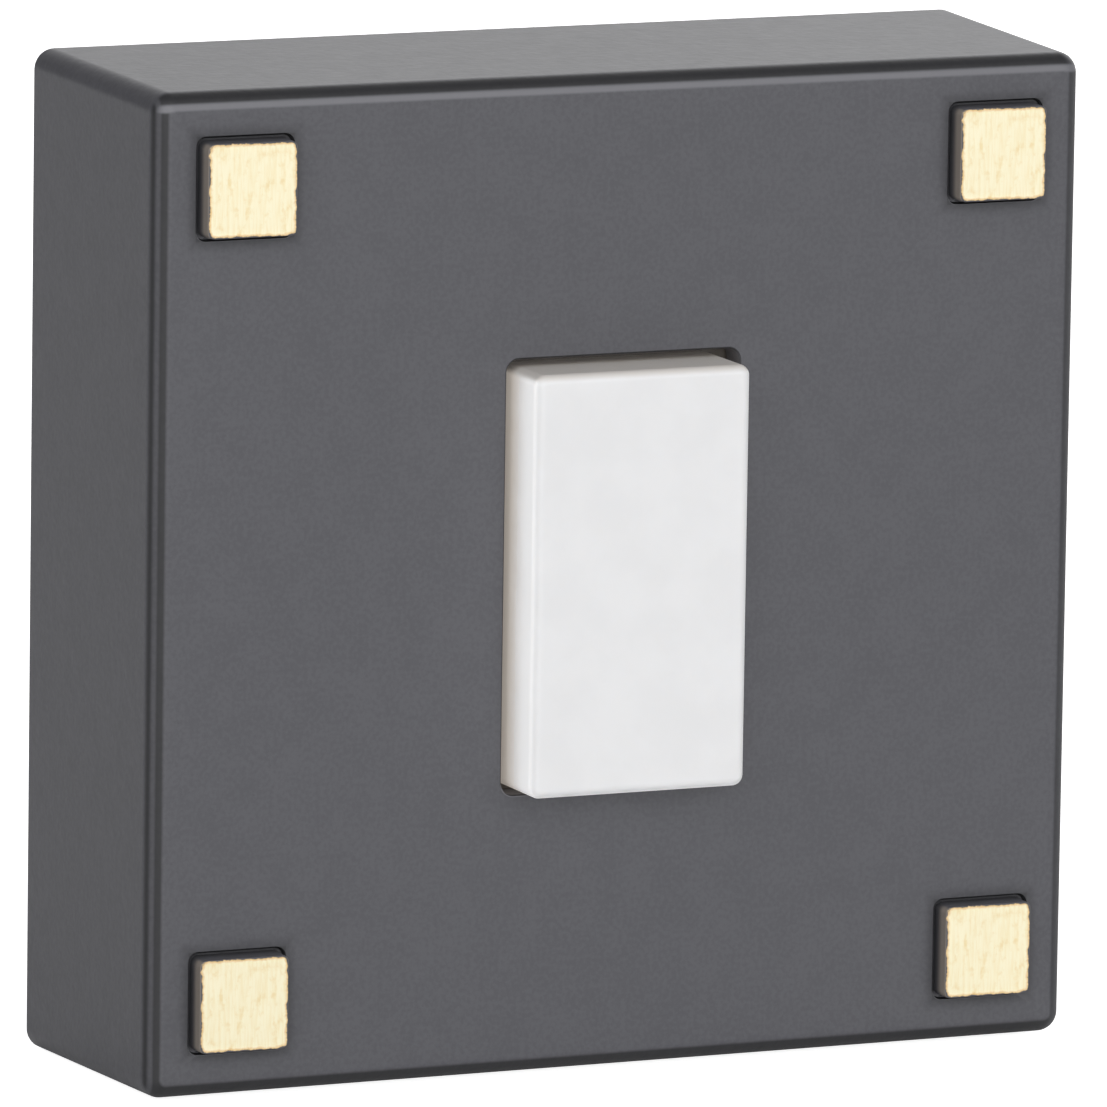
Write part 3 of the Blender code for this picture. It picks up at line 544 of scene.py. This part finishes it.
def circuit_board_mask():
    """Green solder mask with broad copper runs showing through it."""
    nodes = Nodes("circuit_board")
    runs = nodes.add("ShaderNodeTexWave", {"Vector": nodes.place, "Scale": 140.0, "Distortion": 5.0,
                                           "Detail": 1.0, "Detail Scale": 0.6}, bands_direction="DIAGONAL")
    copper = nodes.ramp(runs.outputs[1], 0.55, 0.62)
    weave = nodes.noise(3000.0, 2.0, 0.5, (1.0, 1.0, 0.3))
    mask = nodes.mix(nodes.ramp(weave, 0.3, 0.7), colour(18, 74, 40), colour(24, 86, 48))
    tone = nodes.mix(copper, mask, colour(44, 118, 62))
    normal = nodes.bump(copper, 0.00003, 0.5)
    rough = nodes.between(weave, 0.28, 0.4)
    return nodes.finish(Base_Color=tone, Roughness=rough, Normal=normal)


def banded_barrel(name, body, bands):
    """An axial component: coloured bands along Z round its barrel, and bare tinned wire for its leads."""
    nodes = Nodes(name)
    parts = nodes.add("ShaderNodeSeparateXYZ", {"Vector": nodes.place})
    grain = nodes.noise(2600.0, 2.0)
    tone = nodes.mix(nodes.math("MULTIPLY", grain, 0.3), body, colour(235, 225, 205))
    for middle, half, band in bands:
        offset = nodes.math("ABSOLUTE", nodes.math("SUBTRACT", parts.outputs[2], middle))
        tone = nodes.mix(nodes.ramp(offset, half, half * 0.85), tone, band)
    beyond = nodes.math("ABSOLUTE", nodes.math("SUBTRACT", parts.outputs[2], COMPONENT_Z))
    lead = nodes.math("GREATER_THAN", beyond, BARREL_LENGTH / 2 + 0.00002)
    base = nodes.mix(lead, tone, colour(196, 197, 198))
    rough = nodes.between(grain, 0.22, 0.36)
    normal = nodes.bump(grain, 0.00001, 0.4)
    return nodes.finish(Base_Color=base, Metallic=lead, Roughness=rough, Normal=normal)


def clear_resin():
    nodes = Nodes("led_resin")
    rough = nodes.between(nodes.noise(1500.0, 2.0), 0.04, 0.10)
    clouds = nodes.ramp(nodes.noise(600.0, 2.0), 0.3, 0.7)
    tone = nodes.mix(clouds, colour(250, 250, 244), colour(255, 253, 240))
    return nodes.finish(Base_Color=tone, Roughness=rough, Transmission_Weight=0.85, IOR=1.54)


# Housing

def outer_width(out):
    """Width of the housing across its sides at a distance from the wall."""
    return BACK_WIDTH - 2 * SIDE_DRAFT * out / DEPTH


def side_rings():
    """Up the outside from the rear face, over the rounded edge, to the flat of the front."""
    rings = []
    for cosine, sine in quarter_turn(4):
        inset = REAR_EDGE * (1 - sine)
        rings.append(square(BACK_WIDTH - 2 * inset, CORNER_RADIUS - inset, REAR_EDGE * (1 - cosine)))
    shoulder = DEPTH - EDGE_RADIUS
    for cosine, sine in quarter_turn():
        inset = EDGE_RADIUS * (1 - cosine)
        rings.append(square(outer_width(shoulder) - 2 * inset, CORNER_RADIUS - inset,
                            shoulder + EDGE_RADIUS * sine))
    return rings


def opening_rings():
    """From the flat of the front over the lip and through the wall."""
    rings = []
    for cosine, sine in quarter_turn(7):
        spread = LIP_RADIUS * (1 - sine)
        rings.append(rectangle(OPENING_WIDTH + 2 * spread, OPENING_HEIGHT + 2 * spread,
                               OPENING_RADIUS + spread, DEPTH - LIP_RADIUS * (1 - cosine),
                               OPENING_MIDDLE))
    rings.append(rectangle(OPENING_WIDTH, OPENING_HEIGHT, OPENING_RADIUS, FRONT_INSIDE, OPENING_MIDDLE))
    return rings


def recess_rings(centre):
    """From the flat of the front into a stud's recess, and down the hole for its shank."""
    rings = []
    for cosine, sine in quarter_turn(5):
        spread = RECESS_LIP * (1 - sine)
        rings.append(square(RECESS_WIDTH + 2 * spread, RECESS_CORNER + spread,
                            DEPTH - RECESS_LIP * (1 - cosine), centre))
    floor = DEPTH - RECESS_DEPTH
    for cosine, sine in quarter_turn(3):
        inset = RECESS_FILLET * (1 - cosine)
        rings.append(square(RECESS_WIDTH - 2 * inset, RECESS_CORNER - inset,
                            floor + RECESS_FILLET * (1 - sine), centre))
    rings.append(circle(SHANK_HOLE_RADIUS, floor, centre))
    rings.append(circle(SHANK_HOLE_RADIUS, FRONT_INSIDE, centre))
    return rings


def inside_rings():
    """From the inner face of the front wall back to the rear rim."""
    return [square(outer_width(FRONT_INSIDE) - 2 * SIDE_WALL, CORNER_RADIUS, FRONT_INSIDE),
            square(BACK_WIDTH - 2 * SIDE_WALL, CORNER_RADIUS, REAR_EDGE / 2),
            square(BACK_WIDTH - 2 * SIDE_WALL + REAR_EDGE, CORNER_RADIUS, 0.0)]


def stud_centre(sx, sz):
    low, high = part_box("corner_stud_top_right")
    return (sx * (low.x + high.x) / 2, sz * (low.z + high.z) / 2)


def build_housing(material):
    mesh = bmesh.new()
    outside = skin(mesh, side_rings())
    opening = skin(mesh, opening_rings())
    recesses = [skin(mesh, recess_rings(stud_centre(sx, sz))) for _, sx, sz in CORNERS]
    inside = skin(mesh, inside_rings())
    fill_between(mesh, [outside[-1], opening[0]] + [rows[0] for rows in recesses])
    fill_between(mesh, [inside[0], opening[-1]] + [rows[-1] for rows in recesses])
    fill_between(mesh, [outside[0], inside[-1]])
    housing = to_object(mesh, "housing_shell", material)
    posts = []
    pilots = []
    for _, sx, sz in CORNERS:
        centre = (sx * POST_X, sz * POST_Z)
        posts.append(turned(((POST_RADIUS - REAR_EDGE, POST_REAR), (POST_RADIUS, POST_REAR + REAR_EDGE),
                             (POST_RADIUS, DEPTH - FRONT_WALL / 2)), centre))
        pilots.append(turned(((PILOT_RADIUS + REAR_EDGE, POST_REAR - OVERCUT / 10),
                              (PILOT_RADIUS, POST_REAR + REAR_EDGE), (PILOT_RADIUS, PILOT_FRONT)), centre))
    wall_middle = BACK_WIDTH / 2 - SIDE_WALL / 2
    rib = block((-RIB_WIDTH / 2, RIB_OUT, RIB_Z), (RIB_WIDTH / 2, RIB_OUT + RIB_THICKNESS, wall_middle))
    pad = block((-LOCK_PAD_WIDTH / 2, LOCK_PAD_REAR, -wall_middle),
                (LOCK_PAD_WIDTH / 2, LOCK_PAD_FRONT, LOCK_PAD_Z))
    combine(housing, "UNION", posts + [rib, pad])
    lock = turned(((LOCK_HEAD_HOLE + OVERCUT, -BACK_WIDTH / 2 - OVERCUT + REAR_EDGE),
                   (LOCK_HEAD_HOLE, -BACK_WIDTH / 2 + REAR_EDGE), (LOCK_HEAD_HOLE, LOCK_RECESS_Z),
                   (LOCK_SHANK_HOLE, LOCK_RECESS_Z), (LOCK_SHANK_HOLE, LOCK_PAD_Z + OVERCUT)))
    combine(housing, "DIFFERENCE", pilots + [upright(lock, LOCK_OUT)])
    stand_for(shade(housing), "housing")


def build_studs(material):
    """A stud's head stands in its recess, and its shank is peened over inside the front wall."""
    under = DEPTH - RECESS_DEPTH + STUD_SEAT_GAP
    low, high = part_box("corner_stud_top_left")
    top = -low.y
    base_width = high.x - low.x
    peen = FRONT_INSIDE - STUD_PEEN_GAP
    for name, sx, sz in CORNERS:
        centre = stud_centre(sx, sz)
        rings = []
        for cosine, sine in quarter_turn(5):
            rings.append(circle(STUD_PEEN_RADIUS - STUD_PEEN_HEIGHT / 2 * (1 - sine),
                                peen - STUD_PEEN_HEIGHT / 2 * (1 + cosine), centre))
        rings.append(circle(STUD_PEEN_RADIUS, peen, centre))
        rings.append(circle(STUD_SHANK_RADIUS, peen, centre))
        rings.append(circle(STUD_SHANK_RADIUS, under, centre))
        rings.append(square(base_width, STUD_CORNER + STUD_EDGE, under, centre))
        for cosine, sine in quarter_turn(6):
            inset = STUD_EDGE * (1 - cosine)
            rings.append(square(STUD_TOP_WIDTH - 2 * inset, STUD_CORNER - inset,
                                top - STUD_EDGE * (1 - sine), centre))
        stud = from_rings(f"stud_{name}", [rings], material)
        set_origin(stud, (centre[0], -top, centre[1]))
        stand_for(shade(stud), f"corner_stud_{name}")


# Button

def build_cap(material):
    """A hollow cap with a flange, two spring spigots and the plunger that carries the bridge."""
    low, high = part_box("button_cap")
    face = -low.y
    ceiling = face - CAP_TOP
    flange_width = high.x - low.x
    flange_height = high.z - low.z
    flange_rear = FRONT_INSIDE - GAP - FLANGE_THICKNESS
    inner = (CAP_WIDTH - 2 * CAP_WALL, CAP_HEIGHT - 2 * CAP_WALL)
    fillet = CAP_CORNER / 2
    rings = []
    for cosine, sine in quarter_turn(4):
        inset = fillet * (1 - sine)
        rings.append(rectangle(inner[0] - 2 * inset, inner[1] - 2 * inset, CAP_CORNER - inset,
                               ceiling - fillet * (1 - cosine)))
    rings.append(rectangle(*inner, CAP_CORNER, flange_rear))
    for edge, out in ((REAR_EDGE, flange_rear), (0.0, flange_rear + REAR_EDGE),
                      (0.0, flange_rear + FLANGE_THICKNESS - REAR_EDGE),
                      (REAR_EDGE, flange_rear + FLANGE_THICKNESS)):
        rings.append(rectangle(flange_width - 2 * edge, flange_height - 2 * edge,
                               CAP_CORNER - edge / 2, out))
    rings.append(rectangle(CAP_WIDTH, CAP_HEIGHT, CAP_CORNER, flange_rear + FLANGE_THICKNESS))
    for cosine, sine in quarter_turn(12):
        inset = CAP_EDGE * (1 - cosine)
        rings.append(rectangle(CAP_WIDTH - 2 * inset, CAP_HEIGHT - 2 * inset, CAP_CORNER - inset,
                               face - CAP_EDGE * (1 - sine)))
    cap = from_rings("push_cap", [rings], material)
    root = ceiling + CAP_TOP / 4
    bridge_low, bridge_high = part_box("contact_bridge")
    tip = ceiling - SPIGOT_LENGTH
    details = [turned(((SPIGOT_RADIUS - SPIGOT_CHAMFER, tip), (SPIGOT_RADIUS, tip + SPIGOT_CHAMFER),
                       (SPIGOT_RADIUS, root)), (0.0, sign * SPRING_Z)) for sign in (-1, 1)]
    head = -bridge_high.y - GAP
    step = -bridge_low.y + GAP
    chamfer = PLUNGER_HEAD_THICKNESS - SPIGOT_CHAMFER
    details.append(turned(((PLUNGER_HEAD_RADIUS - chamfer, head - PLUNGER_HEAD_THICKNESS),
                           (PLUNGER_HEAD_RADIUS, head - chamfer), (PLUNGER_HEAD_RADIUS, head),
                           (PLUNGER_NECK_RADIUS, head), (PLUNGER_NECK_RADIUS, step),
                           (SPIGOT_RADIUS, step), (SPIGOT_RADIUS, root)), (0.0, CONTACT_Z)))
    combine(cap, "UNION", details)
    stand_for(shade(cap), "button_cap", "button")


# Springs

def coil(name, node, wire_diameter, turns, material):
    """A compression spring with closed ends, swept along the axis of its CAD node."""
    low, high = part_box(node)
    radius = (high.x - low.x - wire_diameter) / 2
    centre = ((low.x + high.x) / 2, (low.z + high.z) / 2)
    close = COIL_CLOSE_TURN * wire_diameter
    run = high.y - low.y - wire_diameter - 2 * close
    rings = []
    for index in range(turns * COIL_STEPS_PER_TURN + 1):
        turn = index / COIL_STEPS_PER_TURN
        middle = min(max(turn - 1, 0.0), turns - 2) / (turns - 2)
        ends = min(turn, 1.0) + max(turn - (turns - 1), 0.0)
        out = -high.y + wire_diameter / 2 + close * ends + run * middle
        angle = 2 * math.pi * turn
        outward = Vector((math.cos(angle), 0.0, math.sin(angle)))
        middle_point = Vector((centre[0], -out, centre[1])) + radius * outward
        ring = []
        for step in range(COIL_SIDES):
            spin = 2 * math.pi * step / COIL_SIDES
            ring.append(middle_point + wire_diameter / 2
                        * (math.cos(spin) * outward + math.sin(spin) * Vector((0.0, 1.0, 0.0))))
        rings.append(ring)
    return shade(from_rings(name, [rings], material))


def build_springs(material):
    for name in ("upper", "lower"):
        spring = coil(f"cap_spring_{name}", f"return_spring_{name}", SPRING_WIRE, SPRING_TURNS, material)
        stand_for(spring, f"return_spring_{name}")
        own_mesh(spring)
    spring = coil("bridge_spring", "contact_spring", CONTACT_SPRING_WIRE, CONTACT_SPRING_TURNS, material)
    stand_for(spring, "contact_spring", "button")


# Pieces behind the front wall, and the plate on the wall

def refined(name, node, material, body="root", bevel=0.0001, angle=35.0):
    """The shape of a CAD node with merged faces, rounded edges and smooth round sides."""
    mesh = bmesh.new()
    mesh.from_mesh(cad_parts[node].data)
    bmesh.ops.remove_doubles(mesh, verts=mesh.verts, dist=0.000002)
    bmesh.ops.dissolve_limit(mesh, angle_limit=math.radians(0.5), verts=mesh.verts, edges=mesh.edges)
    piece = shade(to_object(mesh, name, material), angle, bevel)
    return stand_for(piece, node, body)


def build_inner_pieces():
    base = moulded_plastic("base_plastic", colour(212, 206, 190), colour(222, 217, 203), 0.42, 0.52)
    board = circuit_board_mask()
    bronze = plated_metal("contact_bronze", colour(196, 150, 112), colour(222, 178, 140))
    brass = plated_metal("terminal_brass", colour(206, 174, 104), colour(230, 202, 136),
                         stretch=(1.0, 1.0, 0.1))
    zinc = plated_metal("zinc_steel", colour(178, 181, 186), colour(208, 210, 213), 0.26, 0.40)
    plate = moulded_plastic("black_plastic", colour(38, 38, 40), colour(46, 46, 48), 0.50, 0.62, 3200.0)
    resistor = banded_barrel("resistor_body", colour(198, 168, 124),
                             ((0.0020, 0.00022, colour(120, 60, 30)),
                              (0.0028, 0.00022, colour(20, 20, 20)),
                              (0.0036, 0.00022, colour(170, 36, 30)),
                              (0.0049, 0.00022, colour(190, 150, 60))))
    diode = banded_barrel("diode_body", colour(150, 70, 40), ((0.0048, 0.0003, colour(18, 18, 18)),))
    refined("wall_plate", "back_plate", plate, bevel=0.0002)
    refined("switch_tray", "switch_base", base, bevel=0.0002)
    refined("board", "circuit_board", board, bevel=0.00008)
    refined("lamp", "led_lamp", clear_resin(), bevel=0.00006, angle=50.0)
    refined("resistor", "led_resistor", resistor, bevel=0.00004, angle=60.0)
    refined("diode", "rectifier_diode", diode, bevel=0.00004, angle=60.0)
    for side in ("left", "right"):
        refined(f"rivet_{side}", f"fixed_contact_{side}", bronze, bevel=0.00006)
    for level in ("upper", "lower"):
        refined(f"terminal_{level}", f"terminal_plate_{level}", brass, bevel=0.00012)
        refined(f"wire_screw_{level}", f"terminal_screw_{level}", zinc, bevel=0.00006)
    for name, _, _ in CORNERS:
        refined(f"tray_screw_{name}", f"base_screw_{name}", zinc, bevel=0.00006)
    refined("locking_screw", "housing_screw", zinc, bevel=0.00006)
    refined("bridge", "contact_bridge", bronze, "button", bevel=0.00008)


# Studio

# A place is its azimuth from the front towards +X and its height, in degrees
LIGHT_SHARPNESS = 7.0
LIGHT_PLACES = ([(azimuth, 15) for azimuth in range(0, 360, 45)]
                + [(azimuth, 55) for azimuth in range(0, 360, 90)] + [(0, 90)])
LAMPS = {(0, 15): 3.3, (45, 15): 0.5, (135, 15): 2.4, (315, 15): 2.05, (270, 55): 0.3}
FILL_LIGHT = 0.05
FLOOR_GLOW = 0.9
FLOOR_HALF = 3.0


def studio_light():
    """A white surround seen by the camera, and soft lights all round the object."""
    world = bpy.data.worlds.new("studio")
    bpy.context.scene.world = world
    world.use_nodes = True
    tree = world.node_tree
    tree.nodes.clear()

    def node(kind, operation=None):
        made = tree.nodes.new(kind)
        if operation:
            made.operation = operation
        return made

    direction = node("ShaderNodeTexCoord").outputs["Generated"]
    total = None
    for azimuth, height in LIGHT_PLACES:
        around = math.radians(azimuth)
        up = math.radians(height)
        towards = Vector((math.sin(around) * math.cos(up), -math.cos(around) * math.cos(up),
                          math.sin(up)))
        facing = node("ShaderNodeVectorMath", "DOT_PRODUCT")
        tree.links.new(direction, facing.inputs[0])
        facing.inputs[1].default_value = towards
        falloff = node("ShaderNodeMath", "MULTIPLY_ADD")
        tree.links.new(facing.outputs["Value"], falloff.inputs[0])
        falloff.inputs[1].default_value = LIGHT_SHARPNESS
        falloff.inputs[2].default_value = -LIGHT_SHARPNESS
        lobe = node("ShaderNodeMath", "EXPONENT")
        tree.links.new(falloff.outputs[0], lobe.inputs[0])
        amount = node("ShaderNodeMath", "MULTIPLY_ADD")
        tree.links.new(lobe.outputs[0], amount.inputs[0])
        amount.inputs[1].default_value = LAMPS.get((azimuth, height), FILL_LIGHT)
        amount.inputs[2].default_value = 0.0
        if total:
            tree.links.new(total, amount.inputs[2])
        total = amount.outputs[0]
    glow = node("ShaderNodeBackground")
    tree.links.new(total, glow.inputs["Strength"])
    white = node("ShaderNodeBackground")
    pick = node("ShaderNodeMixShader")
    tree.links.new(node("ShaderNodeLightPath").outputs["Is Camera Ray"], pick.inputs[0])
    tree.links.new(glow.outputs[0], pick.inputs[1])
    tree.links.new(white.outputs[0], pick.inputs[2])
    tree.links.new(pick.outputs[0], node("ShaderNodeOutputWorld").inputs[0])


def build_floor():
    """A pale table, lightened where it is seen directly so that it shows little shadow."""
    nodes = Nodes("floor")
    mesh = bmesh.new()
    corners = [mesh.verts.new((x * FLOOR_HALF, y * FLOOR_HALF, FLOOR_Z))
               for x, y in ((-1, -1), (1, -1), (1, 1), (-1, 1))]
    mesh.faces.new(corners)
    tone = nodes.mix(nodes.noise(3.0), colour(244, 244, 244), colour(247, 247, 247))
    seen = nodes.add("ShaderNodeLightPath").outputs["Is Camera Ray"]
    material = nodes.finish(Base_Color=tone, Roughness=0.9, Specular_IOR_Level=0.1,
                            Emission_Color=(1.0, 1.0, 1.0, 1.0),
                            Emission_Strength=nodes.math("MULTIPLY", seen, FLOOR_GLOW))
    floor = to_object(mesh, "floor", material)


def build_camera():
    turn = (Matrix.Rotation(CAMERA_YAW, 3, "Z") @ Matrix.Rotation(CAMERA_PITCH, 3, "X")
            @ Matrix.Rotation(CAMERA_ROLL, 3, "Y"))
    right, forward, up = turn.col[0], turn.col[1], turn.col[2]
    data = bpy.data.cameras.new("camera")
    data.sensor_width = SENSOR_WIDTH
    data.lens = LENS
    camera = bpy.data.objects.new("camera", data)
    bpy.context.scene.collection.objects.link(camera)
    axes = Matrix((right, up, -forward)).transposed().to_4x4()
    camera.matrix_world = Matrix.Translation(CAMERA_TARGET - forward * CAMERA_DISTANCE) @ axes
    bpy.context.scene.camera = camera


build_housing(charcoal_paint())
build_studs(brushed_stud())
build_cap(translucent_white())
build_springs(plated_metal("spring_steel", colour(150, 150, 152), colour(186, 186, 188), 0.2, 0.32))
build_inner_pieces()
build_floor()
build_camera()
studio_light()
bpy.context.scene.view_settings.view_transform = "Standard"
